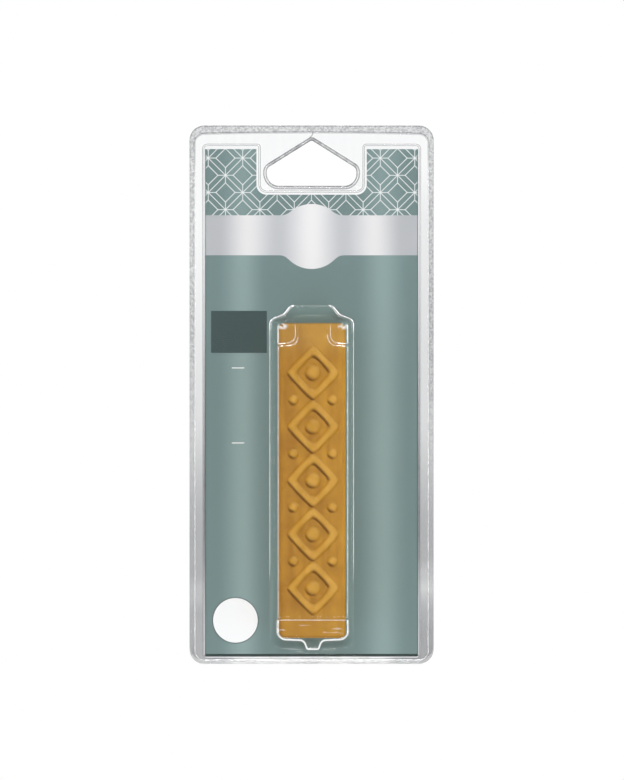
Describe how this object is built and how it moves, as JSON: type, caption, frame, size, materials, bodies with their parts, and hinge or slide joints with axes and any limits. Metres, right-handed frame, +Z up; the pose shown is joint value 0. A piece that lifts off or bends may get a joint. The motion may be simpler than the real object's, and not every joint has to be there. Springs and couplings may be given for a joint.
{
  "type": "furniture repair wax stick",
  "caption": "Block of coloured repair wax for filling furniture, in a clear folding blister hang pack with a printed card, a round shade label and a delta hang hole.",
  "frame": {"origin": "top of the hang hole, in the plane where the two clear halves meet", "axes": "+Z up along the hanging pack, +X to the right seen from the front, the blister faces -Y"},
  "size_m": [0.083, 0.0233, 0.183],
  "materials": {
    "clear_plastic": "clear thermoformed polyester sheet, glossy, with a frosted pressed weld round the rim",
    "wax": "cast ochre wax, satin, softly mottled",
    "printed_card": "coated card printed grey green, with a pale lattice, a silver band and a dark panel",
    "label_paper": "smooth white label paper"
  },
  "bodies": {
    "front_shell": {"front_shell": "clear_plastic"},
    "wax_stick": {"wax_stick": "wax"},
    "insert_card": {"insert_card": "printed_card", "shade_label": "label_paper"},
    "back_shell": {"back_shell": "clear_plastic"}
  },
  "joints": [
    {"name": "stick_lift", "type": "slide", "parent": "front_shell", "child": "wax_stick", "axis": [0, 1, 0], "range_m": [0, 0.03]},
    {"name": "card_lift", "type": "slide", "parent": "wax_stick", "child": "insert_card", "axis": [0, 1, 0], "range_m": [0, 0.015]},
    {"name": "back_fold", "type": "hinge", "parent": "insert_card", "child": "back_shell", "pos_m": [0, 0, -0.1774], "axis": [-1, 0, 0], "range_deg": [0, 180]}
  ]
}
